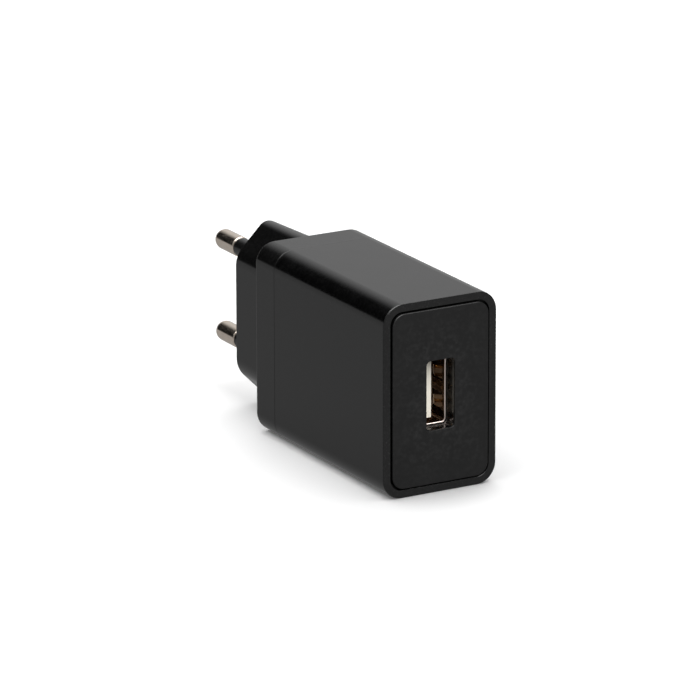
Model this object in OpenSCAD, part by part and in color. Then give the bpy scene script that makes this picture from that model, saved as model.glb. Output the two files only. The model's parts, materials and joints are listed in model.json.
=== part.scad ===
// USB wall charger with a two-pin flat plug, standing on its narrow lower face.
// +Z is up, +Y points out along the pins, and the origin is the middle of the plug's
// engagement face. All sizes are in millimetres.

/* [Body] */
// Width of the body, left to right
body_w = 24; // [23.6:0.1:26]
// Height of the body
body_h = 37.2; // [36.8:0.1:40]
// Depth of the body, front rim to back face
body_d = 48.3; // [47.5:0.1:52]
// Radius of the four long edges
corner_r = 4; // [3.4:0.1:5]
// Thickness of the walls
wall = 2; // [1.7:0.1:2.1]
// Depth of the rear cap that carries the plug
cap_d = 7.3; // [6.5:0.1:9]
// Length of the lip that joins the cap to the main shell
lip_l = 2.5; // [1.5:0.1:3]

/* [Front panel] */
// Width of the shell's rim around the panel
rim = 1.55; // [1.4:0.05:1.7]
// Gap between the rim and the panel
panel_gap = 0.3; // [0.15:0.05:0.4]
// How far the panel stands proud of the rim
panel_proud = 0.3; // [0:0.05:0.5]
// Thickness of the panel
panel_t = 2; // [1.6:0.1:2.4]

/* [Plug] */
// Length of the plug nose behind the body
nose_l = 16.9; // [15:0.1:20]
// Width of the nose at the engagement face
nose_w = 14.1; // [13.2:0.1:14.2]
// Height of the nose at the engagement face
nose_h = 34.6; // [34:0.1:35.2]
// Growth of the nose on each side between the engagement face and the body
nose_growth = 0.5; // [0:0.05:0.6]
// Distance between the pins' centres
pin_pitch = 18.6; // [18:0.1:19.2]
// Diameter of the pins
pin_d = 4; // [3.94:0.02:4.06]
// Length of the pins past the engagement face
pin_l = 19; // [18.5:0.1:19.5]
// Length of the insulating sleeve past the engagement face
sleeve_l = 10.65; // [10:0.05:11]
// Outer diameter of the insulating sleeve
sleeve_d = 3.8; // [3.6:0.05:3.9]

/* [USB socket] */
// Height of the socket's centre above the body's centre
usb_z = 0.2; // [-0.5:0.1:0.5]
// Width of the opening in the panel
mouth_w = 5.8; // [5.8:0.1:6.2]
// Height of the opening in the panel
mouth_h = 13.2; // [13.2:0.1:13.6]
// Distance from the panel's face back to the socket's metal shell
usb_recess = 3; // [2.6:0.1:3.2]
// Thickness of the socket's sheet metal
sheet_t = 0.3; // [0.25:0.01:0.32]
// Clear width inside the socket's shell
usb_in_w = 5.12; // [5.08:0.01:5.16]
// Clear height inside the socket's shell
usb_in_h = 12.5; // [12.4:0.01:12.55]

/* [Circuit board] */
// Thickness of the circuit board
board_t = 1.2; // [1:0.1:1.6]
// Height of the circuit board
board_h = 32.2; // [31:0.1:32.4]

/* [Hidden] */
$fn = 64;
eps = 0.01;
fit_gap = 0.02;

// Stations along Y, from the back of the body to its front
back_y = -nose_l;
parting_y = back_y - cap_d;
lip_y = parting_y - lip_l;
front_y = back_y - body_d;
panel_y = front_y - panel_proud;
ledge_y = panel_y + panel_t;

// Inside of the body
room_w = body_w - 2 * wall;
room_h = body_h - 2 * wall;
room_r = corner_r - wall;
lip_t = wall / 2;
lip_clear = 0.1;

// Panel, in a mouth whose corners are a little rounder than the rim alone would leave them
mouth_corner_r = corner_r - rim + 0.3;
panel_w = body_w - 2 * (rim + panel_gap);
panel_h = body_h - 2 * (rim + panel_gap);
panel_r = mouth_corner_r - panel_gap;
skirt_l = 2;
skirt_t = 1;
skirt_gap = 0.15;
snap_h = 0.3;
snap_w = 4;
snap_l = 0.9;
snap_clear = 0.15;
snap_z = body_h / 4;

// Plug nose: 45 degree chamfers, blended into the sides and rolled over at top and bottom
nose_side_z = 11.3;
nose_blend_r = 5;
nose_apex_r = 2.5;
nose_wall = 1.8;
nose_top_wall = 3.4;
nose_end_t = 3;
corner_step = sqrt(2) - 1;

// Pins: bare tip, core under the sleeve, seat in the nose's boss, flange, then a thin tail
pin_core_d = 3;
pin_seat_d = 4.4;
pin_chamfer = 0.2;
sleeve_chamfer = 0.35;
pin_tail_d = 3;
pin_flange_d = 5.6;
pin_flange_t = 0.8;
pin_boss_d = 7.2;
boss_end_y = -9;
flange_end_y = boss_end_y - pin_flange_t;
lock_plate_t = 2;
lock_plate_y = flange_end_y - lock_plate_t;
pin_tail_y = -16;
sleeve_root_y = -4;

// USB socket
usb_front = panel_y + usb_recess;
usb_depth = 14;
usb_back = usb_front + usb_depth;
usb_in_r = 0.5;
usb_out_w = usb_in_w + 2 * sheet_t;
usb_out_h = usb_in_h + 2 * sheet_t;
collar_t = 1.2;
lead_w = 0.15;
lead_l = 0.9;
collar_end_y = usb_front + 0.9;
tongue_front = usb_front + 1.2;
tongue_low_x = -1.46;
tongue_high_x = 0.38;
tongue_h = 11.1;
block_front = usb_front + 8.5;
contact_z = [3.5, 1, -1, -3.5];
groove_w = 1.1;
groove_x = -1.05;
contact_w = 0.8;
contact_t = 0.25;
contact_x = -0.6;
terminal_front_y = block_front + 0.05;
terminal_back_y = usb_back + 0.55;
terminal_foot = 0.3;

// Leaf springs of the socket's shell
leaf_z = 2.9;
leaf_root_y = usb_front + 0.8;
leaf_root_w = 2.9;
leaf_tip_w = 1.7;
leaf_l = 2.8;
leaf_crest = 0.55;
window_w = 3.5;
window_l = 3.6;

// Circuit board
board_x = usb_out_w / 2 + 0.2;
board_back_x = board_x + board_t;
board_front_y = collar_end_y + 0.3;
board_end_y = parting_y + 1.5;
lead_r = 0.3;
lead_inset = 0.6;
hole_r = 0.45;
lead_end_x = board_back_x + 1;
rib_t = 1;
rib_l = 1.3;
board_slack = 0.1;
rib_start_y = board_front_y + 2;
rib_end_y = lip_y - 1;

// Places of the parts on the board, as [y, z]
output_cap_y = usb_front + 8;
output_cap_z = 11.2;
output_cap_d = 8;
output_cap_l = 11.5;
trafo_y = usb_back + 8.6;
bulk_cap_y = parting_y - 5.8;
bulk_cap_z = 11.2;
bulk_cap_d = 8;
bulk_cap_l = 12;
choke_y = parting_y - 3.6;
choke_z = 3.4;
resistor_y = parting_y - 3.8;
resistor_z = -4.2;
safety_cap_y = trafo_y;
safety_cap_z = -12.6;

// Transformer
core_w = 13;
core_h = 13;
core_t = 6;
core_side = 1.5;
core_back = 1.7;
core_leg = 2.8;
core_x = board_x - 6.7;
spool_gap = 0.15;
spool_wall = 0.7;
flange_t = 0.7;
winding_y = 4.5;
winding_x = 5.3;
rail_z = 6.9;
rail_w = 2.4;
rail_x = core_x + core_t / 2 + 0.3;
trafo_pin_x = rail_x + 0.7;
trafo_pin_y = [-4.5, -1.5, 1.5, 4.5];

// Leads through the board, as [y, z]
lead_spread = 2.5;
lead_places = concat(
    [for (s = [-1, 1]) [output_cap_y + s * lead_spread / 2, output_cap_z]],
    [for (s = [-1, 1]) [output_cap_y + s * lead_spread / 2, -output_cap_z]],
    [for (s = [-1, 1]) [bulk_cap_y + s * lead_spread / 2, bulk_cap_z]],
    [for (s = [-1, 1]) [bulk_cap_y + s * lead_spread / 2, -bulk_cap_z]],
    [for (s = [-1, 1]) [choke_y + s * lead_spread / 2, choke_z]],
    [for (s = [-1, 1]) [resistor_y, resistor_z + s * lead_spread / 2]],
    [for (s = [-1, 1]) [safety_cap_y + s * lead_spread, safety_cap_z]],
    [for (y = trafo_pin_y, s = [-1, 1]) [trafo_y + y, s * rail_z]],
    [for (z = contact_z) [terminal_back_y - contact_t / 2, usb_z + z]]
);

// Legs of the socket's shell through the board, as [y, z]
leg_w = 1.5;
leg_places = [
    for (y = [usb_front + 5.5, usb_front + 10.5], s = [-1, 1])
    [y, usb_z + s * (usb_out_h - sheet_t) / 2]
];

// ---- helpers: a flat outline drawn in two axes and run along the third ----

module along_x(x0, x1) {
    translate([x0, 0, 0]) rotate([90, 0, 90]) linear_extrude(x1 - x0) children();
}

module along_y(y0, y1) {
    translate([0, y1, 0]) rotate([90, 0, 0]) linear_extrude(y1 - y0) children();
}

module along_z(z0, z1) {
    translate([0, 0, z0]) linear_extrude(z1 - z0) children();
}

module rounded_outline(w, h, r) {
    square([w - 2 * r, h], center = true);
    square([w, h - 2 * r], center = true);
    for (sx = [-1, 1], sy = [-1, 1])
        translate([sx * (w / 2 - r), sy * (h / 2 - r)]) circle(r);
}

module box_between(low, high) {
    translate(low) cube(high - low);
}

// A round bar along +Y, or along +X, from one station to another
module rod_y(x, z, r, y0, y1) {
    translate([x, y0, z]) rotate([-90, 0, 0]) cylinder(r = r, h = y1 - y0);
}

module rod_x(y, z, r, x0, x1) {
    translate([x0, y, z]) rotate([0, 90, 0]) cylinder(r = r, h = x1 - x0);
}

// ---- body ----

module main_shell() {
    color("#343436") difference() {
        union() {
            difference() {
                along_y(front_y, parting_y) rounded_outline(body_w, body_h, corner_r);
                along_y(front_y - eps, parting_y + eps)
                    rounded_outline(room_w, room_h, room_r);
            }
            for (s = [-1, 1]) board_ribs(s);
        }
        along_y(front_y - eps, ledge_y)
            rounded_outline(body_w - 2 * rim, body_h - 2 * rim, mouth_corner_r);
        along_y(lip_y - lip_clear, parting_y + eps)
            rounded_outline(room_w + 2 * lip_t, room_h + 2 * lip_t, room_r + lip_t);
        for (sx = [-1, 1], sz = [-1, 1]) snap_pocket(sx, sz * snap_z);
    }
}

// Two ribs that hold one edge of the board between them, on the upper or lower wall
module board_ribs(side) {
    for (x = [board_x - board_slack - rib_t, board_back_x + board_slack])
        box_between(
            [x, rib_start_y, side > 0 ? room_h / 2 - rib_l : -room_h / 2 - eps],
            [x + rib_t, rib_end_y, side > 0 ? room_h / 2 + eps : rib_l - room_h / 2]
        );
}

module snap_pocket(side, z) {
    depth = snap_h + snap_clear;
    x = side * (room_w / 2 + depth / 2);
    y = ledge_y + skirt_l - snap_l / 2;
    pocket_l = snap_l + 2 * snap_clear;
    pocket_w = snap_w + 2 * snap_clear;
    translate([x, y, z]) cube([depth + 2 * eps, pocket_l, pocket_w], center = true);
}

module rear_cap() {
    color("#38383a") difference() {
        union() {
            along_y(parting_y, back_y) rounded_outline(body_w, body_h, corner_r);
            along_y(lip_y, parting_y + eps) rounded_outline(
                room_w + 2 * (lip_t - fit_gap),
                room_h + 2 * (lip_t - fit_gap),
                room_r + lip_t
            );
            nose();
        }
        along_y(lip_y - eps, back_y - wall)
            rounded_outline(room_w, room_h, room_r);
        difference() {
            along_y(back_y - wall - eps, -nose_end_t) nose_room(0);
            for (s = [-1, 1])
                rod_y(0, s * pin_pitch / 2, pin_boss_d / 2, boss_end_y, 0);
        }
        for (s = [-1, 1]) {
            rod_y(0, s * pin_pitch / 2, pin_seat_d / 2 + fit_gap, boss_end_y - eps, sleeve_root_y);
            rod_y(0, s * pin_pitch / 2, sleeve_d / 2 + fit_gap, sleeve_root_y - eps, eps);
        }
    }
}

// The nose grows a little towards the body, so it is lofted between its two ends
module nose() {
    slice = 0.1;
    hull() {
        along_y(-slice, 0) nose_outline(0);
        along_y(back_y - slice, back_y) nose_outline(nose_growth);
    }
}

module nose_outline(growth) {
    half_w = nose_w / 2 + growth / 2;
    half_h = nose_h / 2 + growth;
    flat = half_w + nose_side_z + growth - half_h;
    hull() for (sx = [-1, 1], sz = [-1, 1]) {
        translate([
            sx * (half_w - nose_blend_r),
            sz * (nose_side_z + growth / 2 - corner_step * nose_blend_r)
        ]) circle(nose_blend_r);
        translate([sx * (flat - corner_step * nose_apex_r), sz * (half_h - nose_apex_r)])
            circle(nose_apex_r);
    }
}

module nose_room(inset) {
    half_w = nose_w / 2 - nose_wall - inset;
    half_h = nose_h / 2 - nose_top_wall - inset;
    side_z = nose_side_z - nose_wall - corner_step * inset;
    top_x = half_w + side_z - half_h;
    polygon([
        [half_w, side_z], [top_x, half_h], [-top_x, half_h], [-half_w, side_z],
        [-half_w, -side_z], [-top_x, -half_h], [top_x, -half_h], [half_w, -side_z]
    ]);
}

module front_panel() {
    skirt_w = room_w - 2 * skirt_gap;
    skirt_h = room_h - 2 * skirt_gap;
    color("#242425") difference() {
        union() {
            along_y(panel_y, ledge_y) rounded_outline(panel_w, panel_h, panel_r);
            difference() {
                along_y(ledge_y - eps, ledge_y + skirt_l)
                    rounded_outline(skirt_w, skirt_h, room_r - skirt_gap);
                along_y(ledge_y - 2 * eps, ledge_y + skirt_l + eps)
                    rounded_outline(skirt_w - 2 * skirt_t, skirt_h - 2 * skirt_t, skirt_t / 2);
            }
            translate([0, 0, usb_z]) along_y(ledge_y - eps, collar_end_y)
                rounded_outline(mouth_w + 2 * collar_t, mouth_h + 2 * collar_t, collar_t);
            for (sx = [-1, 1], sz = [-1, 1]) snap_hook(sx, sz * snap_z);
        }
        translate([0, 0, usb_z]) along_y(panel_y - eps, collar_end_y + eps)
            rounded_outline(mouth_w, mouth_h, usb_in_r + sheet_t);
        lead_in();
    }
}

// The mouth's sloping edge, which guides the plug in
module lead_in() {
    start_r = usb_in_r + sheet_t;
    translate([0, 0, usb_z]) hull() {
        along_y(panel_y - eps, panel_y)
            rounded_outline(mouth_w + 2 * lead_w, mouth_h + 2 * lead_w, start_r + lead_w, $fn = 32);
        along_y(panel_y + lead_l - eps, panel_y + lead_l)
            rounded_outline(mouth_w, mouth_h, start_r, $fn = 32);
    }
}

// A wedge on the skirt that springs into the shell's pocket
module snap_hook(side, z) {
    root_x = room_w / 2 - skirt_gap - eps;
    peak_x = room_w / 2 + snap_h;
    y1 = ledge_y + skirt_l;
    y0 = y1 - snap_l;
    catch_draft = 0.05;
    land_l = 0.2;
    mirror([side < 0 ? 1 : 0, 0, 0]) along_z(z - snap_w / 2, z + snap_w / 2) polygon([
        [root_x, y0], [peak_x, y0 + catch_draft],
        [peak_x, y0 + catch_draft + land_l], [root_x, y1]
    ]);
}

// ---- plug ----

// Half of the pin's section, with X as the radius and Y along the pin. The bare end starts with a
// chamfer, which makes a groove against the sleeve's own chamfer.
module pin_outline() {
    tip_r = pin_d / 2;
    translate([0, pin_tail_y]) square([pin_tail_d / 2, flange_end_y - pin_tail_y]);
    translate([0, flange_end_y]) square([pin_flange_d / 2, pin_flange_t]);
    translate([0, boss_end_y - eps]) square([pin_seat_d / 2, sleeve_root_y - boss_end_y + eps]);
    translate([0, sleeve_root_y - eps]) square([pin_core_d / 2, sleeve_l - sleeve_root_y + 2 * eps]);
    polygon([
        [0, sleeve_l], [tip_r - pin_chamfer, sleeve_l], [tip_r, sleeve_l + pin_chamfer],
        [tip_r, pin_l - tip_r], [0, pin_l - tip_r]
    ]);
    intersection() {
        translate([0, pin_l - tip_r]) circle(tip_r);
        translate([0, pin_l - tip_r - eps]) square([tip_r, tip_r + 2 * eps]);
    }
}

module pin(side) {
    color("#b9aa9c") translate([0, 0, side * pin_pitch / 2])
        rotate([-90, 0, 0]) rotate_extrude() pin_outline();
}

module sleeve(side) {
    z = side * pin_pitch / 2;
    bore_r = pin_core_d / 2 + fit_gap / 2;
    end_r = sleeve_d / 2;
    color("#1c1c1e") translate([0, 0, z]) rotate([-90, 0, 0]) rotate_extrude() polygon([
        [bore_r, sleeve_root_y], [end_r, sleeve_root_y], [end_r, sleeve_l - sleeve_chamfer],
        [(end_r + bore_r) / 2, sleeve_l], [bore_r, sleeve_l]
    ]);
}

module pin_upper() { pin(1); }
module pin_lower() { pin(-1); }
module sleeve_upper() { sleeve(1); }
module sleeve_lower() { sleeve(-1); }

// A plate behind the pins' flanges, with a slot in its middle for the moulding tool
module pin_lock_plate() {
    plate_gap = 0.2;
    slot = [4, 8];
    hole_r = pin_tail_d / 2 + fit_gap;
    color("#4a4a4c") difference() {
        along_y(lock_plate_y, flange_end_y) nose_room(plate_gap);
        for (s = [-1, 1])
            rod_y(0, s * pin_pitch / 2, hole_r, lock_plate_y - 1, flange_end_y + 1);
        along_y(lock_plate_y - 1, flange_end_y + 1) rounded_outline(slot.x, slot.y, 1);
    }
}

// A strip from the board to the side of a pin's tail
module contact_blade(side) {
    strip_t = 0.4;
    strip_w = 3.4;
    touch_gap = 0.03;
    touch_x = pin_tail_d / 2 + touch_gap;
    foot_x = board_x - strip_t;
    foot_y = board_end_y - 3;
    bend_y = board_end_y + 2;
    bend_l = 2;
    bend_t = 0.2;
    tip_y = lock_plate_y - 0.4;
    z = side * pin_pitch / 2;
    color("#c9a25a") along_z(z - strip_w / 2, z + strip_w / 2) polygon([
        [foot_x, foot_y], [board_x, foot_y], [board_x, bend_y],
        [touch_x + strip_t, bend_y + bend_l], [touch_x + strip_t, tip_y],
        [touch_x, tip_y], [touch_x, bend_y + bend_l - bend_t], [foot_x, bend_y - bend_t]
    ]);
}

module contact_blade_upper() { contact_blade(1); }
module contact_blade_lower() { contact_blade(-1); }

// ---- circuit board ----

module circuit_board() {
    color("#2f6b45") difference() {
        box_between([board_x, board_front_y, -board_h / 2], [board_back_x, board_end_y, board_h / 2]);
        for (p = lead_places) rod_x(p[0], p[1], hole_r, board_x - 1, board_back_x + 1);
        for (p = leg_places)
            translate([board_x + board_t / 2, p[0], p[1]])
                cube([board_t + 1, leg_w + 0.5, sheet_t + 0.5], center = true);
    }
}

// A cone of solder around each lead and each leg, on the board's back
module solder_joints() {
    cone_h = 0.8;
    lead_pad_r = 0.85;
    lead_top_r = 0.5;
    leg_pad_r = 1.5;
    leg_top_r = 1.05;
    color("#c8cacd") {
        for (p = lead_places) translate([board_back_x, p[0], p[1]]) rotate([0, 90, 0]) difference() {
            cylinder(r1 = lead_pad_r, r2 = lead_top_r, h = cone_h);
            translate([0, 0, -1]) cylinder(r = lead_r + fit_gap, h = cone_h + 2);
        }
        for (p = leg_places) translate([board_back_x, p[0], p[1]]) rotate([0, 90, 0]) difference() {
            cylinder(r1 = leg_pad_r, r2 = leg_top_r, h = cone_h);
            cube([sheet_t + 2 * fit_gap, leg_w + 2 * fit_gap, 3 * cone_h], center = true);
        }
    }
}

// A polyester sheet between the solder side and the shell's wall
module insulating_sheet() {
    film_t = 0.25;
    film_gap = 0.1;
    film_x = room_w / 2 - film_gap - film_t;
    film_y0 = board_front_y + 2.5;
    film_y1 = lip_y - 0.5;
    film_h = room_h - 6;
    color("#e4dcc0") along_x(film_x, film_x + film_t)
        translate([(film_y0 + film_y1) / 2, 0]) rounded_outline(film_y1 - film_y0, film_h, 1);
}

// ---- parts on the board ----

module leads(places) {
    for (p = places) rod_x(p[0], p[1], lead_r, board_x - lead_inset, lead_end_x);
}

// A can on the board's left side, its axis along X, with a rolled groove and a scored top
module electrolytic(y, z, d, l) {
    groove_r = 0.35;
    groove_depth = 0.25;
    groove_x = 1.5;
    edge_r = 0.5;
    score = [0.3, d * 0.55, 0.25];
    r = d / 2;
    difference() {
        translate([board_x, y, z]) rotate([0, -90, 0]) rotate_extrude() difference() {
            union() {
                square([r, l - edge_r]);
                square([r - edge_r, l]);
                translate([r - edge_r, l - edge_r]) circle(edge_r);
            }
            translate([r + groove_r - groove_depth, groove_x]) circle(groove_r);
        }
        for (a = [0, 60, 120])
            translate([board_x - l, y, z]) rotate([a, 0, 0]) cube(score, center = true);
    }
    leads([for (s = [-1, 1]) [y + s * lead_spread / 2, z]]);
}

module bulk_capacitor_upper() {
    color("#26303a") electrolytic(bulk_cap_y, bulk_cap_z, bulk_cap_d, bulk_cap_l);
}

module bulk_capacitor_lower() {
    color("#26303a") electrolytic(bulk_cap_y, -bulk_cap_z, bulk_cap_d, bulk_cap_l);
}

module output_capacitor_upper() {
    color("#3c4a3a") electrolytic(output_cap_y, output_cap_z, output_cap_d, output_cap_l);
}

module output_capacitor_lower() {
    color("#3c4a3a") electrolytic(output_cap_y, -output_cap_z, output_cap_d, output_cap_l);
}

// A ferrite drum wound with wire in rings
module filter_choke() {
    drum_r = 3;
    drum_l = 8;
    core_r = 2.5;
    end_t = 1.2;
    turns = 8;
    wire_r = (drum_l - 2 * end_t) / turns / 2;
    color("#5a4a3a") {
        translate([board_x, choke_y, choke_z]) rotate([0, -90, 0]) rotate_extrude() {
            square([drum_r, end_t]);
            translate([0, drum_l - end_t]) square([drum_r, end_t]);
            square([core_r, drum_l]);
            for (i = [0:turns - 1])
                translate([core_r, end_t + wire_r * (2 * i + 1)]) circle(wire_r - fit_gap / 4);
        }
        leads([for (s = [-1, 1]) [choke_y + s * lead_spread / 2, choke_z]]);
    }
}

// A ceramic body standing on one lead, with the other lead bent over its top
module fusible_resistor() {
    body_r = 1.5;
    body_l = 7;
    end_r = body_r + 0.2;
    end_l = 1.2;
    foot = 0.8;
    body_z = resistor_z - lead_spread / 2;
    return_z = resistor_z + lead_spread / 2;
    bend_x = board_x - foot - body_l - 1;
    color("#7fa0b8") {
        translate([board_x - foot, resistor_y, body_z]) rotate([0, -90, 0]) rotate_extrude() {
            square([body_r, body_l]);
            square([end_r, end_l]);
            translate([0, body_l - end_l]) square([end_r, end_l]);
        }
        for (z = [body_z, return_z]) rod_x(resistor_y, z, lead_r, bend_x, lead_end_x);
        translate([bend_x + lead_r, resistor_y, resistor_z])
            cube([2 * lead_r, 2 * lead_r, lead_spread + 2 * lead_r], center = true);
    }
}

// A small package on the solder side: body, and legs along its two long edges
module surface_chip(y, z, size, legs) {
    leg_reach = 0.9;
    leg_root = 0.2;
    leg_t = 0.2;
    leg_share = 0.35;
    pitch = size.y / legs;
    leg = [leg_t, pitch * leg_share, leg_reach + leg_root];
    leg_middle = size.z / 2 + (leg_reach - leg_root) / 2;
    translate([board_back_x, y, z]) {
        translate([leg_t / 2, -size.y / 2, -size.z / 2]) cube(size);
        for (i = [0:legs - 1], s = [-1, 1])
            translate([leg_t / 2, (i - (legs - 1) / 2) * pitch, s * leg_middle])
                cube(leg, center = true);
    }
}

module bridge_rectifier() {
    color("#1d1d1f") surface_chip(y = parting_y - 8.6, z = -0.5, size = [1.5, 4.7, 3.9], legs = 2);
}

module controller_chip() {
    color("#1d1d1f") surface_chip(y = trafo_y + 1, z = 1, size = [1.5, 4.9, 3.9], legs = 4);
}

module output_rectifier() {
    color("#1d1d1f") surface_chip(y = usb_front + 5.5, z = usb_z, size = [2.1, 4.2, 5.2], legs = 1);
}

module snubber_diode() {
    color("#1d1d1f") surface_chip(y = trafo_y - 5.2, z = 2.4, size = [2, 2.5, 4.2], legs = 1);
}

// Chip resistors and capacitors, each with a body and two raised end caps
module chip_parts() {
    places = [
        [trafo_y + 2, -10.6], [trafo_y - 1, -10.6], [trafo_y + 2, 10.6], [trafo_y - 1, 10.6],
        [trafo_y - 4, 10.6], [trafo_y - 3.6, -2.6], [usb_front + 11, -9.4], [usb_front + 11, 9.8]
    ];
    chip_l = 2;
    chip_w = 1.25;
    chip_h = 0.55;
    cap_l = 0.4;
    plating = 0.06;
    cap = [chip_h + plating, chip_w + plating, cap_l + plating];
    color("#2a2a2e") for (p = places) translate([board_back_x, p[0], p[1]]) {
        translate([0, -chip_w / 2, -chip_l / 2]) cube([chip_h, chip_w, chip_l]);
        for (s = [-1, 1])
            translate([cap.x / 2, 0, s * (chip_l - cap_l) / 2]) cube(cap, center = true);
    }
}

// A blue ceramic disc across the transformer
module safety_capacitor() {
    disc_r = 2.9;
    disc_t = 2.6;
    edge_r = 0.6;
    disc_x = board_x - disc_r - 1.6;
    bend_x = board_x - 2.4;
    bend = [2 * lead_r, 1.6, 2 * lead_r];
    color("#3a6aa8") {
        translate([disc_x, safety_cap_y, safety_cap_z]) rotate_extrude() {
            square([disc_r - edge_r, disc_t]);
            translate([0, edge_r]) square([disc_r, disc_t - 2 * edge_r]);
            for (z = [edge_r, disc_t - edge_r]) translate([disc_r - edge_r, z]) circle(edge_r);
        }
        for (s = [-1, 1]) {
            rod_x(safety_cap_y + s * lead_spread, safety_cap_z, lead_r, bend_x, lead_end_x);
            translate([bend_x, safety_cap_y + s * (lead_spread - 0.5), safety_cap_z])
                cube(bend, center = true);
        }
    }
}

// ---- transformer ----

// One E-shaped ferrite half, its three legs reaching to the middle plane
module core_half(side) {
    half = core_h / 2;
    join = 0.02;
    mirror([0, 0, side > 0 ? 0 : 1]) along_x(core_x - core_t / 2, core_x + core_t / 2)
        translate([trafo_y, 0]) {
            translate([-core_w / 2, half - core_back]) square([core_w, core_back]);
            for (s = [-1, 1]) translate([s * (core_w - core_side) / 2 - core_side / 2, join])
                square([core_side, half - join - eps]);
            translate([-core_leg / 2, join]) square([core_leg, half - join - eps]);
        }
}

module core_upper() { color("#4c4a4a") core_half(1); }
module core_lower() { color("#4c4a4a") core_half(-1); }

module bobbin() {
    hole_y = core_leg / 2 + spool_gap;
    hole_x = core_t / 2 + spool_gap;
    spool_end = core_h / 2 - core_back - spool_gap;
    flange = [2 * winding_x + 0.8, 2 * winding_y + 0.7, flange_t];
    rail_in = spool_end - flange_t;
    rail_out = rail_z + rail_w / 2;
    rail_half_l = core_w / 2 - 0.5;
    rail_foot = 0.4;
    color("#2e2f33") difference() {
        union() {
            along_z(-spool_end, spool_end) translate([core_x, trafo_y])
                square([2 * (hole_x + spool_wall), 2 * (hole_y + spool_wall)], center = true);
            for (s = [-1, 1]) translate([core_x, trafo_y, s * (spool_end - flange_t / 2)])
                cube(flange, center = true);
            for (s = [-1, 1]) box_between(
                [rail_x, trafo_y - rail_half_l, s > 0 ? rail_in : -rail_out],
                [board_x - rail_foot, trafo_y + rail_half_l, s > 0 ? rail_out : -rail_in]
            );
        }
        along_z(-core_h, core_h) translate([core_x, trafo_y])
            square([2 * hole_x, 2 * hole_y], center = true);
        for (y = trafo_pin_y, s = [-1, 1])
            rod_x(trafo_y + y, s * rail_z, lead_r + fit_gap, trafo_pin_x - 0.1, board_x + 1);
    }
}

module bobbin_pins() {
    color("#d0cfca") for (y = trafo_pin_y, s = [-1, 1])
        rod_x(trafo_y + y, s * rail_z, lead_r, trafo_pin_x, lead_end_x);
}

// The copper under its yellow tape: a rounded block around the spool, banded by the tape's laps
module winding() {
    end_gap = 0.1;
    spool_end = core_h / 2 - core_back - spool_gap - flange_t - end_gap;
    inner_x = core_t / 2 + spool_gap + spool_wall + fit_gap;
    inner_y = core_leg / 2 + spool_gap + spool_wall + fit_gap;
    laps = 3;
    lap_l = 2 * spool_end / laps;
    lap_step = 0.1;
    tape_r = 1.8;
    color("#d9b23c") difference() {
        for (i = [0:laps - 1]) translate([core_x, trafo_y, -spool_end + i * lap_l])
            linear_extrude(i % 2 == 0 ? lap_l : lap_l + eps)
                rounded_outline(
                    2 * (winding_x - (i % 2) * lap_step),
                    2 * (winding_y - (i % 2) * lap_step),
                    tape_r
                );
        along_z(-core_h, core_h) translate([core_x, trafo_y])
            square([2 * inner_x, 2 * inner_y], center = true);
    }
}

// ---- USB socket ----

module usb_shell() {
    color("#a9a29a") {
        difference() {
            translate([0, 0, usb_z]) difference() {
                along_y(usb_front, usb_back) rounded_outline(usb_out_w, usb_out_h, usb_in_r + sheet_t);
                along_y(usb_front - 1, usb_back + 1) rounded_outline(usb_in_w, usb_in_h, usb_in_r);
            }
            for (sz = [-1, 1]) box_between(
                [-usb_out_w, leaf_root_y, usb_z + sz * leaf_z - window_w / 2],
                [usb_out_w, leaf_root_y + window_l, usb_z + sz * leaf_z + window_w / 2]
            );
        }
        for (p = leg_places) box_between(
            [usb_in_w / 2 - 1, p[0] - leg_w / 2, p[1] - sheet_t / 2],
            [lead_end_x, p[0] + leg_w / 2, p[1] + sheet_t / 2]
        );
    }
}

// The moulded block at the back of the socket and the tongue that carries the contacts
module usb_insulator() {
    slot_w = contact_w + 2 * fit_gap;
    slot_t = contact_t + 2 * fit_gap;
    groove_y0 = tongue_front + 0.35;
    color("#ece4d2") difference() {
        union() {
            translate([0, 0, usb_z]) along_y(block_front, usb_back)
                rounded_outline(usb_in_w - 2 * fit_gap, usb_in_h - 2 * fit_gap, usb_in_r);
            box_between(
                [tongue_low_x, tongue_front, usb_z - tongue_h / 2],
                [tongue_high_x, block_front + eps, usb_z + tongue_h / 2]
            );
        }
        for (z = contact_z) {
            box_between(
                [groove_x, groove_y0, usb_z + z - groove_w / 2],
                [tongue_high_x + 1, terminal_front_y, usb_z + z + groove_w / 2]
            );
            box_between(
                [contact_x - fit_gap, block_front - 1, usb_z + z - slot_w / 2],
                [contact_x - fit_gap + slot_t, usb_back + 1, usb_z + z + slot_w / 2]
            );
        }
    }
}

// Fixed ends of the contacts: straight through the block, then down through the board
module usb_terminals() {
    color("#d8b56a") for (z = contact_z) {
        box_between(
            [contact_x, terminal_front_y, usb_z + z - contact_w / 2],
            [contact_x + contact_t, terminal_back_y, usb_z + z + contact_w / 2]
        );
        box_between(
            [contact_x, terminal_back_y - contact_t, usb_z + z - contact_w / 2],
            [board_x - terminal_foot, terminal_back_y, usb_z + z + contact_w / 2]
        );
        box_between(
            [board_x - terminal_foot - 0.1, terminal_back_y - contact_t, usb_z + z - lead_r / 2],
            [lead_end_x, terminal_back_y, usb_z + z + lead_r / 2]
        );
    }
}

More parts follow.
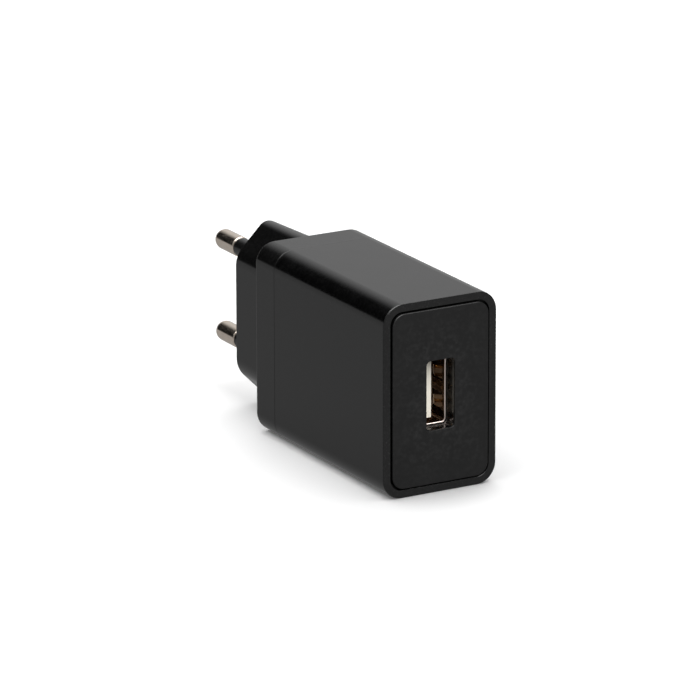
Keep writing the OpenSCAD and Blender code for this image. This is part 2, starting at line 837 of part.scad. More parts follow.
// The sprung end of a contact: it rises out of its groove to a crest and dips in again
module usb_wiper(z) {
    root_y = block_front;
    crest_y = block_front - 5.2;
    crest_x = tongue_high_x + 0.45;
    crest_l = 0.5;
    crest_dip = 0.1;
    tip_y = crest_y - 1.4;
    tip_x = tongue_high_x - 0.35;
    color("#e0bd72") along_z(usb_z + z - contact_w / 2, usb_z + z + contact_w / 2) polygon([
        [contact_x + contact_t, root_y], [contact_x, root_y],
        [crest_x - contact_t - crest_dip, crest_y + crest_l], [crest_x - contact_t, crest_y],
        [crest_x - contact_t - crest_dip, crest_y - crest_l], [tip_x - contact_t, tip_y],
        [tip_x, tip_y], [crest_x - crest_dip, crest_y - crest_l], [crest_x, crest_y],
        [crest_x - crest_dip, crest_y + crest_l]
    ]);
}

module usb_wiper_1() { usb_wiper(contact_z[0]); }
module usb_wiper_2() { usb_wiper(contact_z[1]); }
module usb_wiper_3() { usb_wiper(contact_z[2]); }
module usb_wiper_4() { usb_wiper(contact_z[3]); }

// A tapered leaf cut from the shell's wide wall, bent into the socket, its root at the front
module usb_leaf(side, z) {
    root_y = leaf_root_y + 0.03;
    inner_x = usb_in_w / 2;
    root_l = 0.3;
    crest_y = root_y + leaf_l * 0.72;
    crest_l = 0.12;
    tip_y = root_y + leaf_l;
    tip_in = leaf_crest - 0.15;
    color("#b5aea6") mirror([side > 0 ? 0 : 1, 0, 0]) intersection() {
        along_z(z - leaf_root_w / 2, z + leaf_root_w / 2) polygon([
            [inner_x, root_y], [inner_x + sheet_t, root_y], [inner_x + sheet_t, root_y + root_l],
            [inner_x - leaf_crest + sheet_t, crest_y - crest_l],
            [inner_x - leaf_crest + sheet_t, crest_y + crest_l],
            [inner_x - tip_in + sheet_t, tip_y], [inner_x - tip_in, tip_y],
            [inner_x - leaf_crest, crest_y + crest_l], [inner_x - leaf_crest, crest_y - crest_l],
            [inner_x, root_y + root_l]
        ]);
        along_x(inner_x - 1, inner_x + 1) polygon([
            [root_y, z - leaf_root_w / 2], [tip_y, z - leaf_tip_w / 2],
            [tip_y, z + leaf_tip_w / 2], [root_y, z + leaf_root_w / 2]
        ]);
    }
}

module usb_leaf_right_upper() { usb_leaf(1, usb_z + leaf_z); }
module usb_leaf_right_lower() { usb_leaf(1, usb_z - leaf_z); }
module usb_leaf_left_upper() { usb_leaf(-1, usb_z + leaf_z); }
module usb_leaf_left_lower() { usb_leaf(-1, usb_z - leaf_z); }

// ---- one line per node ----

main_shell();
rear_cap();
front_panel();
pin_upper();
pin_lower();
sleeve_upper();
sleeve_lower();
pin_lock_plate();
contact_blade_upper();
contact_blade_lower();
circuit_board();
solder_joints();
insulating_sheet();
bulk_capacitor_upper();
bulk_capacitor_lower();
filter_choke();
fusible_resistor();
bridge_rectifier();
controller_chip();
chip_parts();
snubber_diode();
core_upper();
core_lower();
bobbin();
winding();
bobbin_pins();
safety_capacitor();
output_rectifier();
output_capacitor_upper();
output_capacitor_lower();
usb_shell();
usb_insulator();
usb_terminals();
usb_wiper_1();
usb_wiper_2();
usb_wiper_3();
usb_wiper_4();
usb_leaf_right_upper();
usb_leaf_right_lower();
usb_leaf_left_upper();
usb_leaf_left_lower();
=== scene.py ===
"""The looks of a slim black USB wall charger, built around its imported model.

Lengths in this script are millimetres, in the model's own frame, and every mesh is scaled to
metres when it is made. X runs left to right, Y along the plug's pins and Z up.
"""

import json
import math

import bmesh
import bpy
from mathutils import Matrix, Vector


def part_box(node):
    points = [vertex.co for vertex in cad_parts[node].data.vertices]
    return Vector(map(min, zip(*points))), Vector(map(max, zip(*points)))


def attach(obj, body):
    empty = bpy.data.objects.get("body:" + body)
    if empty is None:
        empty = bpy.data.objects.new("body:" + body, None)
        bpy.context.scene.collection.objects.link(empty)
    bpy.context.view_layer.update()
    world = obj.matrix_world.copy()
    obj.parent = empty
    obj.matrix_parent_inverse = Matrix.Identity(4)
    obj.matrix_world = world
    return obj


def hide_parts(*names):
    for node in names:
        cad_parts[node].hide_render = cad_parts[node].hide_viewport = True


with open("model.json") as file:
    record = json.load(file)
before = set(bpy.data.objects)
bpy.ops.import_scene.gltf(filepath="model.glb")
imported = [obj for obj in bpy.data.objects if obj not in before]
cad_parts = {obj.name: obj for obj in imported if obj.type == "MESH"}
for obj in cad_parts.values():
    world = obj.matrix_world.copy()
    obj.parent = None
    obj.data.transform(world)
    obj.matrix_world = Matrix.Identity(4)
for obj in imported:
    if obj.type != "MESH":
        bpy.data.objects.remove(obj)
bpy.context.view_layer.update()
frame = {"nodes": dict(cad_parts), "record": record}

MM = 0.001
ROOT_BODY = "charger"


def box_mm(node):
    """Lowest and highest corner of a CAD node, in millimetres."""
    low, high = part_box(node)
    return low / MM, high / MM


# ---- sizes that the frame gives, and the design's own small ones ----

SHELL_LOW, SHELL_HIGH = box_mm("main_shell")
PANEL_LOW, PANEL_HIGH = box_mm("front_panel")
USB_LOW, USB_HIGH = box_mm("usb_shell")
PIN_LOW, PIN_HIGH = box_mm("pin_upper")
BOARD_LOW, BOARD_HIGH = box_mm("circuit_board")

BODY_W = SHELL_HIGH.x - SHELL_LOW.x
BODY_H = SHELL_HIGH.z - SHELL_LOW.z
FRONT_Y = SHELL_LOW.y
PARTING_Y = SHELL_HIGH.y
NOSE_L = 16.9
NOSE_W = 14.1
NOSE_H = 34.6
NOSE_SIDE_Z = 11.3
BACK_Y = -NOSE_L
CORNER_R = 4.0
WALL = 2.0
RIM = 1.55
LIP_L = 2.5
LIP_GAP = 0.02
PANEL_GAP = 0.3
PANEL_T = 2.0
PANEL_Y = PANEL_LOW.y
LEDGE_Y = PANEL_Y + PANEL_T
PANEL_W = BODY_W - 2 * (RIM + PANEL_GAP)
PANEL_H = BODY_H - 2 * (RIM + PANEL_GAP)
PANEL_R = CORNER_R - RIM - PANEL_GAP + 0.3

SHEET_T = 0.3
USB_Z = (USB_LOW.z + USB_HIGH.z) / 2
USB_H = USB_HIGH.z - USB_LOW.z
USB_W = -2 * USB_LOW.x
USB_R = 0.8
USB_FRONT = USB_LOW.y
USB_BACK = USB_HIGH.y
LEAF_Z = 2.9
WINDOW_Y = USB_FRONT + 0.8

PIN_R = 2.0
PIN_Z = (PIN_LOW.z + PIN_HIGH.z) / 2
SLEEVE_L = 10.65
SLEEVE_R = 1.9
SLEEVE_ROOT_Y = -4.0
SLEEVE_CHAMFER = 0.35
PIN_CHAMFER = 0.2
PIN_CORE_R = 1.5


# ---- outlines in the X-Z plane, as corner arcs (centre x, centre z, radius, start, end) ----


def rounded(width, height, radius, z=0.0):
    """The four corners of a rounded rectangle."""
    x, up = width / 2 - radius, height / 2 - radius
    return [
        (x, z + up, radius, 0, 90),
        (-x, z + up, radius, 90, 180),
        (-x, z - up, radius, 180, 270),
        (x, z - up, radius, 270, 360),
    ]


def circle(radius, z):
    """A full circle, as one arc."""
    return [(0.0, z, radius, 0, 360)]


def nose(y, side_r=5.0, apex_r=2.5):
    """The plug nose's eight corners at station y. It grows a little towards the body."""
    share = 0.5 * (-y / NOSE_L)
    half_w, half_h = NOSE_W / 2 + share / 2, NOSE_H / 2 + share
    step = math.sqrt(2) - 1
    flat = half_w + NOSE_SIDE_Z + share - half_h
    cx, cz = half_w - side_r, NOSE_SIDE_Z + share / 2 - step * side_r
    ax, az = flat - step * apex_r, half_h - apex_r
    return [
        (cx, cz, side_r, 0, 45),
        (ax, az, apex_r, 45, 90),
        (-ax, az, apex_r, 90, 135),
        (-cx, cz, side_r, 135, 180),
        (-cx, -cz, side_r, 180, 225),
        (-ax, -az, apex_r, 225, 270),
        (ax, -az, apex_r, 270, 315),
        (cx, -cz, side_r, 315, 360),
    ]


def nose_room():
    """The eight plain corners of the hollow inside the nose."""
    half_w, half_h, side_z = NOSE_W / 2 - 1.8, NOSE_H / 2 - 3.4, NOSE_SIDE_Z - 1.8
    top_x = half_w + side_z - half_h
    tiny = 0.05
    points = [(half_w, side_z), (top_x, half_h), (-top_x, half_h), (-half_w, side_z)]
    points += [(-x, -z) for x, z in points]
    starts = (0, 45, 90, 135, 180, 225, 270, 315)
    return [(x, z, tiny, a, a + 45) for (x, z), a in zip(points, starts)]


def arc(cu, cv, radius, start, end, steps=5):
    """Points of an arc in a section, given as (inset, y) pairs."""
    turns = [math.radians(start + (end - start) * i / steps) for i in range(steps + 1)]
    return [(cu + radius * math.cos(a), cv + radius * math.sin(a)) for a in turns]


# ---- meshes ----


class Shape:
    """A surface put together from rings that face along Y."""

    def __init__(self):
        self.bm = bmesh.new()

    def ring(self, corners, y, inset=0.0, steps=10):
        """One closed loop of points along an outline that is moved in by inset."""
        made = []
        for cx, cz, radius, start, end in corners:
            full = end - start == 360
            count = 4 * steps if full else steps
            for i in range(count if full else count + 1):
                a = math.radians(start + (end - start) * i / count)
                r = radius - inset
                made.append(self.bm.verts.new((cx + r * math.cos(a), y, cz + r * math.sin(a))))
        return made

    def band(self, first, second):
        """Quads between two rings with the same number of points."""
        n = len(first)
        for i in range(n):
            j = (i + 1) % n
            self.bm.faces.new((first[i], first[j], second[j], second[i]))

    def loft(self, rings):
        """Quads between each ring and the next."""
        for first, second in zip(rings, rings[1:]):
            self.band(first, second)

    def flat(self, *loops):
        """Fills the flat face between an outer loop and its holes."""
        edges = []
        for loop in loops:
            for a, b in zip(loop, loop[1:] + loop[:1]):
                edges.append(self.bm.edges.get((a, b)) or self.bm.edges.new((a, b)))
        bmesh.ops.triangle_fill(self.bm, use_beauty=True, use_dissolve=False, edges=edges)

    def pole(self, loop, y, z):
        """Closes a small loop with a fan to one point."""
        tip = self.bm.verts.new((0.0, y, z))
        for a, b in zip(loop, loop[1:] + loop[:1]):
            self.bm.faces.new((a, b, tip))

    def block(self, low, high):
        """A plain box from corner to corner, for ribs and other hidden detail."""
        made = bmesh.ops.create_cube(self.bm, size=1.0)["verts"]
        size = Vector(high) - Vector(low)
        centre = (Vector(high) + Vector(low)) / 2
        for v in made:
            v.co = Vector(c * s for c, s in zip(v.co, size)) + centre

    def finish(self, name):
        """The shape as an object in metres, smooth but for its sharp edges."""
        sharp = math.radians(40)
        bmesh.ops.recalc_face_normals(self.bm, faces=self.bm.faces)
        for edge in self.bm.edges:
            edge.smooth = edge.calc_face_angle(math.pi) < sharp
        for face in self.bm.faces:
            face.smooth = True
        bmesh.ops.scale(self.bm, vec=(MM, MM, MM), verts=self.bm.verts)
        mesh = bpy.data.meshes.new(name)
        self.bm.to_mesh(mesh)
        self.bm.free()
        mark_edges(mesh)
        piece = bpy.data.objects.new(name, mesh)
        bpy.context.scene.collection.objects.link(piece)
        weigh_normals(piece)
        return piece


def mark_edges(mesh):
    """Stores how sharply the surface turns at each point, for edge wear and painted highlights."""
    bm = bmesh.new()
    bm.from_mesh(mesh)
    turns = []
    for vert in bm.verts:
        bends = [e.calc_face_angle_signed(0.0) for e in vert.link_edges]
        turns.append(min(1.0, max(bends, default=0.0) / math.radians(25)))
    bm.free()
    layer = mesh.attributes.new("edge", "FLOAT", "POINT")
    layer.data.foreach_set("value", [max(0.0, t) for t in turns])


def weigh_normals(piece):
    """Keeps large flat faces flat beside rounded edges."""
    modifier = piece.modifiers.new("normals", "WEIGHTED_NORMAL")
    modifier.keep_sharp = True
    modifier.weight = 80


def settle(piece, body, slot, material, *nodes):
    """Gives a new piece its material and body, and hides the CAD nodes it stands for.

    slot is not used.
    """
    piece.data.materials.clear()
    piece.data.materials.append(material)
    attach(piece, body)
    if nodes:
        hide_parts(*nodes)
    return piece


# ---- the moulded body ----


def shell_moulding():
    """The main sleeve: one section swept round the body's outline, with its board ribs."""
    edge_r, rim_r, seam_r, gap_t = 0.22, 0.1, 0.11, WALL / 2
    section = arc(seam_r, PARTING_Y - seam_r, seam_r, 90, 180, 4)
    section += arc(edge_r, FRONT_Y + edge_r, edge_r, 180, 270, 6)
    section += arc(RIM - rim_r, FRONT_Y + rim_r, rim_r, 270, 360, 4)
    section += [(RIM, LEDGE_Y), (WALL, LEDGE_Y)]
    section += [(WALL, PARTING_Y - LIP_L - 0.1), (gap_t, PARTING_Y - LIP_L - 0.1), (gap_t, PARTING_Y)]
    shape = Shape()
    outline = rounded(BODY_W, BODY_H, CORNER_R)
    rings = [shape.ring(outline, y, inset, steps=14) for inset, y in section]
    shape.loft(rings + rings[:1])
    rib_t, rib_l, slack = 1.0, 1.3, 0.1
    room_z = BODY_H / 2 - WALL
    for x in (BOARD_LOW.x - slack - rib_t, BOARD_HIGH.x + slack):
        for side in (-1, 1):
            ends = sorted((side * (room_z - rib_l), side * (room_z + 0.05)))
            shape.block(
                (x, BOARD_LOW.y + 2, ends[0]),
                (x + rib_t, PARTING_Y - LIP_L - 1, ends[1]),
            )
    return shape.finish("shell_moulding")


def rear_moulding():
    """The back cap with the hollow plug nose and the two bosses that hold the pins."""
    edge_r, seam_r, lip_in = 0.45, 0.11, WALL / 2 + LIP_GAP
    body = rounded(BODY_W, BODY_H, CORNER_R)
    shape = Shape()
    section = [(WALL, BACK_Y - WALL), (WALL, PARTING_Y - LIP_L)]
    section += [(lip_in, PARTING_Y - LIP_L), (lip_in, PARTING_Y)]
    section += arc(seam_r, PARTING_Y + seam_r, seam_r, 270, 180, 4)
    section += arc(edge_r, BACK_Y - edge_r, edge_r, 180, 90, 6)
    outer = [shape.ring(body, y, inset, steps=14) for inset, y in section]
    shape.loft(outer)

    root_r, face_r = 0.3, 0.16
    nose_rings = []
    for inset, y in arc(-root_r, BACK_Y + root_r, root_r, 270, 360, 4):
        nose_rings.append(shape.ring(nose(y), y, inset))
    for inset, y in arc(face_r, -face_r, face_r, 180, 90, 5):
        nose_rings.append(shape.ring(nose(y), y, inset))
    shape.loft(nose_rings)
    shape.flat(outer[-1], nose_rings[0])

    boss_r, seat_r, boss_y, end_y, fit = 3.6, 2.2, -9.0, -3.0, 0.02
    faces, bosses = [], []
    for z in (PIN_Z, -PIN_Z):
        bore = [
            shape.ring(circle(SLEEVE_R + fit + 0.12, z), 0.0),
            shape.ring(circle(SLEEVE_R + fit, z), -0.12),
            shape.ring(circle(SLEEVE_R + fit, z), SLEEVE_ROOT_Y),
            shape.ring(circle(seat_r + fit, z), SLEEVE_ROOT_Y),
            shape.ring(circle(seat_r + fit, z), boss_y),
            shape.ring(circle(boss_r, z), boss_y),
            shape.ring(circle(boss_r, z), end_y),
        ]
        shape.loft(bore)
        faces.append(bore[0])
        bosses.append(bore[-1])
    shape.flat(nose_rings[-1], *faces)
    room = [shape.ring(nose_room(), y, steps=1) for y in (end_y, BACK_Y - WALL)]
    shape.loft(room)
    shape.flat(room[0], *bosses)
    shape.flat(outer[0], room[1])
    return shape.finish("rear_moulding")


def panel_moulding():
    """The inset front panel: face, socket collar, skirt and snap hooks."""
    edge_r, skirt_l, skirt_t = 0.18, 2.0, 1.0
    mouth_w, mouth_h, collar_t = 5.8, 13.2, 1.2
    lead_w, lead_l = 0.15, 0.9
    collar_y = PANEL_HIGH.y
    shape = Shape()
    outline = rounded(PANEL_W, PANEL_H, PANEL_R)
    mouth = rounded(mouth_w, mouth_h, USB_R, USB_Z)
    skirt = rounded(BODY_W - 2 * WALL - 0.3, BODY_H - 2 * WALL - 0.3, CORNER_R - WALL - 0.15)
    skirt_y = LEDGE_Y + skirt_l

    outer = [shape.ring(outline, LEDGE_Y, steps=12)]
    for inset, y in arc(edge_r, PANEL_Y + edge_r, edge_r, 180, 270, 6):
        outer.append(shape.ring(outline, y, inset, steps=12))
    shape.loft(outer)
    hole = []
    for i in range(9):
        a = math.radians(90 * i / 8)
        inset, y = -lead_w * (1 - math.sin(a)), PANEL_Y + lead_l * (1 - math.cos(a))
        hole.append(shape.ring(mouth, y, inset, steps=8))
    hole.append(shape.ring(mouth, collar_y, steps=8))
    hole.append(shape.ring(mouth, collar_y, -collar_t, steps=8))
    hole.append(shape.ring(mouth, LEDGE_Y, -collar_t, steps=8))
    shape.loft(hole)
    shape.flat(outer[-1], hole[0])
    tabs = [
        shape.ring(skirt, LEDGE_Y, skirt_t, steps=8),
        shape.ring(skirt, skirt_y, skirt_t, steps=8),
        shape.ring(skirt, skirt_y, 0.0, steps=8),
        shape.ring(skirt, LEDGE_Y, 0.0, steps=8),
    ]
    shape.loft(tabs)
    shape.flat(outer[0], tabs[-1])
    shape.flat(tabs[0], hole[-1])
    hook_w, hook_l, hook_h = 4.0, 0.9, 0.3
    for side in (-1, 1):
        for z in (-BODY_H / 4, BODY_H / 4):
            xs = sorted((side * (BODY_W / 2 - WALL - 0.2), side * (BODY_W / 2 - WALL + hook_h)))
            shape.block((xs[0], skirt_y - hook_l, z - hook_w / 2), (xs[1], skirt_y - 0.4, z + hook_w / 2))
    return shape.finish("panel_moulding")


# ---- turned and moulded round parts ----


def turned(name, profile, z, steps=14):
    """A round part about an axis along Y, from (radius, y) pairs; a radius of 0 closes an end."""
    shape = Shape()
    rings = [shape.ring(circle(r, z), y, steps=steps) for r, y in profile if r > 0]
    shape.loft(rings)
    if profile[0][0] == 0:
        shape.pole(rings[0], profile[0][1], z)
        shape.pole(rings[-1], profile[-1][1], z)
    else:
        shape.band(rings[-1], rings[0])
    return shape.finish(name)


def pin_turned(name, z):
    """A pin: thin tail, flange, seat, thin core under the sleeve, then the bare domed tip."""
    tail_y, flange_y, boss_y, core_r, flange_r, seat_r = PIN_LOW.y, -9.8, -9.0, PIN_CORE_R, 2.8, 2.2
    tip_y, blend = PIN_HIGH.y - PIN_R, 0.06
    profile = [(0, tail_y), (core_r - 0.2, tail_y), (core_r, tail_y + 0.2), (core_r, flange_y)]
    profile += [(flange_r, flange_y), (flange_r, boss_y), (seat_r, boss_y), (seat_r, SLEEVE_ROOT_Y)]
    profile += [(core_r, SLEEVE_ROOT_Y), (core_r, SLEEVE_L)]
    profile += [(PIN_R - PIN_CHAMFER, SLEEVE_L), (PIN_R - blend, SLEEVE_L + PIN_CHAMFER - blend)]
    profile += [
        (PIN_R - 0.25 * blend, SLEEVE_L + PIN_CHAMFER + 0.1 * blend),
        (PIN_R, SLEEVE_L + PIN_CHAMFER + blend),
    ]
    dome = 14
    for i in range(dome):
        a = math.radians(90 * i / dome)
        profile.append((PIN_R * math.cos(a), tip_y + PIN_R * math.sin(a)))
    profile.append((0, tip_y + PIN_R))
    return turned(name, profile, z, steps=16)


def sleeve_moulding(name, z):
    """The insulating sleeve, chamfered where it meets the bare metal."""
    bore_r, blend = PIN_CORE_R + 0.01, 0.05
    end_y = SLEEVE_L - SLEEVE_CHAMFER
    profile = [(bore_r, SLEEVE_ROOT_Y), (SLEEVE_R, SLEEVE_ROOT_Y), (SLEEVE_R, end_y - blend)]
    profile += [(SLEEVE_R - 0.2 * blend, end_y + 0.3 * blend)]
    profile += [((SLEEVE_R + bore_r) / 2, SLEEVE_L), (bore_r, SLEEVE_L)]
    return turned(name, profile, z, steps=16)


# ---- the socket ----


def usb_shell_sheet():
    """The socket's shell as folded sheet: four windows for the leaves, and four legs."""
    window_w, window_l, window_y = 3.5, 3.6, WINDOW_Y
    half_x, half_z, r = USB_W / 2 - SHEET_T / 2, USB_H / 2 - SHEET_T / 2, USB_R - SHEET_T / 2
    breaks = [half_z - r]
    for centre in (LEAF_Z, -LEAF_Z):
        breaks += [centre + window_w / 2, centre - window_w / 2]
    breaks.append(r - half_z)

    def outline(grow):
        """The sheet's middle line, with its sides out and its top and bottom in by grow."""
        x, z_in = half_x + grow, half_z - r - grow
        points = [(x, z) for z in reversed(breaks)]
        points += corner_points(x - r, z_in, r, 0)
        points += corner_points(r - x, z_in, r, 90)
        points += [(-x, z) for z in breaks[1:]]
        points += corner_points(r - x, -z_in, r, 180)[1:]
        return points + corner_points(x - r, -z_in, r, 270)[:-1]

    thinned, slope_l = 0.5, 0.1
    flare = SHEET_T * (1 - thinned) / 2
    stations = [(USB_FRONT, flare), (USB_FRONT + slope_l, 0.0), (window_y, 0.0)]
    stations += [(window_y + window_l, 0.0), (USB_BACK, 0.0)]
    bm = bmesh.new()
    rows = [[bm.verts.new((x, y, USB_Z + z)) for x, z in outline(grow)] for y, grow in stations]
    count = len(rows[0])
    for lower, upper in zip(rows, rows[1:]):
        for i in range(count):
            j = (i + 1) % count
            quad = (lower[i], lower[j], upper[j], upper[i])
            middle = sum((v.co for v in quad), Vector()) / 4
            in_window = window_y < middle.y < window_y + window_l
            on_wall = abs(abs(middle.x) - half_x) < 0.01
            beside = abs(abs(middle.z - USB_Z) - LEAF_Z) < window_w / 2
            if not (in_window and on_wall and beside):
                bm.faces.new(quad)
    leg_w, leg_end = 1.5, USB_HIGH.x
    for y in (USB_FRONT + 5.5, USB_FRONT + 10.5):
        for side in (-1, 1):
            z = USB_Z + side * half_z
            corners = (
                (half_x - 0.6, y - leg_w / 2),
                (leg_end - 0.4, y - leg_w / 2),
                (leg_end, y - leg_w / 4),
                (leg_end, y + leg_w / 4),
                (leg_end - 0.4, y + leg_w / 2),
                (half_x - 0.6, y + leg_w / 2),
            )
            bm.faces.new([bm.verts.new((x, v, z)) for x, v in corners])
    bmesh.ops.recalc_face_normals(bm, faces=bm.faces)
    bmesh.ops.scale(bm, vec=(MM, MM, MM), verts=bm.verts)
    for face in bm.faces:
        face.smooth = True
    mesh = bpy.data.meshes.new("usb_shell_sheet")
    bm.to_mesh(mesh)
    bm.free()
    piece = bpy.data.objects.new("usb_shell_sheet", mesh)
    bpy.context.scene.collection.objects.link(piece)
    gauge = piece.vertex_groups.new(name="gauge")
    gauge.add(range(count), thinned, "REPLACE")
    gauge.add(range(count, len(mesh.vertices)), 1.0, "REPLACE")
    thick = piece.modifiers.new("sheet", "SOLIDIFY")
    thick.thickness = SHEET_T * MM
    thick.offset = 0.0
    thick.vertex_group = "gauge"
    round_edges(piece, 0.04)
    weigh_normals(piece)
    return piece


def corner_points(cx, cz, r, start, steps=7):
    """Points of a quarter circle from start degrees on."""
    turns = [math.radians(start + 90 * i / steps) for i in range(steps + 1)]
    return [(cx + r * math.cos(a), cz + r * math.sin(a)) for a in turns]


def round_edges(piece, width, segments=2, angle=35.0):
    """Rounds a piece's sharp edges by width millimetres."""
    bevel = piece.modifiers.new("edges", "BEVEL")
    bevel.width = width * MM
    bevel.segments = segments
    bevel.limit_method = "ANGLE"
    bevel.angle_limit = math.radians(angle)
    bevel.harden_normals = False


def strip(name, path, widths, thickness, z):
    """A bent strip: path runs through (x, y) points, with a width at each along Z."""
    bm = bmesh.new()
    rows = []
    for i, (x, y) in enumerate(path):
        before, after = path[max(0, i - 1)], path[min(len(path) - 1, i + 1)]
        along = Vector((after[0] - before[0], after[1] - before[1])).normalized()
        across = Vector((-along.y, along.x)) * thickness / 2
        half = widths[i] / 2
        loop = ((1, -half), (1, 0.0), (1, half), (-1, half), (-1, 0.0), (-1, -half))
        rows.append([
            bm.verts.new((x + face * across.x, y + face * across.y, z + rise)) for face, rise in loop
        ])
    count = len(rows[0])
    for lower, upper in zip(rows, rows[1:]):
        for i in range(count):
            j = (i + 1) % count
            bm.faces.new((lower[i], lower[j], upper[j], upper[i]))
    bm.faces.new(rows[0])
    bm.faces.new(rows[-1])
    bmesh.ops.recalc_face_normals(bm, faces=bm.faces)
    bmesh.ops.scale(bm, vec=(MM, MM, MM), verts=bm.verts)
    for face in bm.faces:
        face.smooth = True
    mesh = bpy.data.meshes.new(name)
    bm.to_mesh(mesh)
    bm.free()
    piece = bpy.data.objects.new(name, mesh)
    bpy.context.scene.collection.objects.link(piece)
    round_edges(piece, 0.035)
    weigh_normals(piece)
    return piece


def smooth_path(points, steps=6):
    """A Catmull-Rom curve through (x, y) points."""
    ends = [points[0]] + list(points) + [points[-1]]
    made = []
    for a, b, c, d in zip(ends, ends[1:], ends[2:], ends[3:]):
        for i in range(steps):
            t = i / steps
            made.append(tuple(
                0.5 * (2 * q + (r - p) * t + (2 * p - 5 * q + 4 * r - s) * t * t
                       + (3 * q - p - 3 * r + s) * t ** 3)
                for p, q, r, s in zip(a, b, c, d)
            ))
    made.append(tuple(points[-1]))
    return made


def leaf_strip(name, side, z):
    """A tapered leaf, wide at its root near the mouth, dipping into the socket."""
    root_w, tip_w, leaf_l, crest = 2.9, 1.7, 2.8, 0.55
    wall_x, root_y = USB_W / 2 - SHEET_T / 2, WINDOW_Y + 0.03
    points = [(0.0, 0.0), (0.02, 0.28), (0.2, 1.0), (crest - 0.08, 1.75), (crest, 2.02)]
    points += [(crest - 0.04, 2.28), (crest - 0.17, leaf_l)]
    path = [(side * (wall_x - dip), root_y + along) for dip, along in smooth_path(points)]
    widths = [root_w + (tip_w - root_w) * (y - root_y) / leaf_l for _, y in path]
    return strip(name, path, widths, SHEET_T - 0.04, z)


def wiper_strip(name, z):
    """The sprung end of a contact: out of its groove to a crest, then down again."""
    low, high = box_mm("usb_wiper_1")
    thickness = 0.23
    root, rise = low.x + 0.125, high.x - thickness / 2
    points = [(root, high.y), (root + 0.175, high.y - 1.0), (root + 0.825, high.y - 3.4)]
    points += [(rise - 0.08, high.y - 4.7), (rise, high.y - 5.2), (rise - 0.13, high.y - 5.6)]
    points += [(root + 0.405, low.y + 0.03)]
    path = smooth_path(points)
    widths = [0.8 if y > low.y + 1.0 else 0.66 for _, y in path]
    return strip(name, path, widths, thickness, z)


# ---- materials: each is a few noises in the model's own space, so no image is needed ----


class Surface:
    """A Principled material whose colour, roughness and relief come from nodes."""

    def __init__(self, name, metallic=0.0):
        self.material = bpy.data.materials.new(name)
        self.material.use_nodes = True
        self.tree = self.material.node_tree
        self.shader = self.tree.nodes["Principled BSDF"]
        self.shader.inputs["Metallic"].default_value = metallic
        self.shader.inputs["Specular IOR Level"].default_value = 0.5
        self.place = self.node("ShaderNodeTexCoord").outputs["Object"]

    def node(self, kind, **settings):
        made = self.tree.nodes.new(kind)
        for key, value in settings.items():
            setattr(made, key, value)
        return made

    def link(self, source, target):
        self.tree.links.new(source, target)

    def noise(self, size_mm, detail=3.0, stretch=(1, 1, 1)):
        """Noise whose features are about size_mm across, drawn out along an axis by stretch."""
        mapping = self.node("ShaderNodeMapping")
        mapping.inputs["Scale"].default_value = [1.0 / s for s in stretch]
        self.link(self.place, mapping.inputs["Vector"])
        made = self.node("ShaderNodeTexNoise")
        made.inputs["Scale"].default_value = 1.0 / (size_mm * MM)
        made.inputs["Detail"].default_value = detail
        self.link(mapping.outputs["Vector"], made.inputs["Vector"])
        return made.outputs["Fac"]

    def remap(self, source, low, high, start=0.3, end=0.7):
        """A source's range from start to end, spread over low to high."""
        made = self.node("ShaderNodeMapRange")
        for key, value in (("From Min", start), ("From Max", end), ("To Min", low), ("To Max", high)):
            made.inputs[key].default_value = value
        self.link(source, made.inputs["Value"])
        return made.outputs["Result"]

    def mix(self, share, first, second):
        """A colour between two colours or colour outputs, by a share output."""
        made = self.node("ShaderNodeMix", data_type="RGBA")
        self.link(share, made.inputs[0])
        for value, target in ((first, made.inputs[6]), (second, made.inputs[7])):
            if isinstance(value, bpy.types.NodeSocket):
                self.link(value, target)
            else:
                target.default_value = (*value, 1.0)
        return made.outputs[2]

    def times(self, first, second):
        """The product of two numbers or outputs."""
        made = self.node("ShaderNodeMath", operation="MULTIPLY")
        for value, target in ((first, made.inputs[0]), (second, made.inputs[1])):
            if isinstance(value, bpy.types.NodeSocket):
                self.link(value, target)
            else:
                target.default_value = value
        return made.outputs[0]

    def edge(self):
        """1 along the piece's outer edges, 0 on its flats."""
        return self.node("ShaderNodeAttribute", attribute_name="edge").outputs["Fac"]

    def along(self, axis):
        """The place along one axis, in metres."""
        split = self.node("ShaderNodeSeparateXYZ")
        self.link(self.place, split.inputs[0])
        return split.outputs[axis]

    def between(self, source, low_mm, high_mm):
        """1 where a place lies between two stations, and 0 elsewhere."""
        made = self.node("ShaderNodeMath", operation="COMPARE")
        self.link(source, made.inputs[0])
        made.inputs[1].default_value = (low_mm + high_mm) / 2 * MM
        made.inputs[2].default_value = (high_mm - low_mm) / 2 * MM
        return made.outputs[0]

    def colour(self, source):
        self.link(source, self.shader.inputs["Base Color"])

    def roughness(self, source):
        self.link(source, self.shader.inputs["Roughness"])

    def relief(self, *layers):
        """Bumps, each a (height output, depth in millimetres) pair."""
        normal = None
        for height, depth_mm in layers:
            bump = self.node("ShaderNodeBump")
            bump.inputs["Distance"].default_value = depth_mm * MM
            self.link(height, bump.inputs["Height"])
            if normal is not None:
                self.link(normal, bump.inputs["Normal"])
            normal = bump.outputs["Normal"]
        self.link(normal, self.shader.inputs["Normal"])


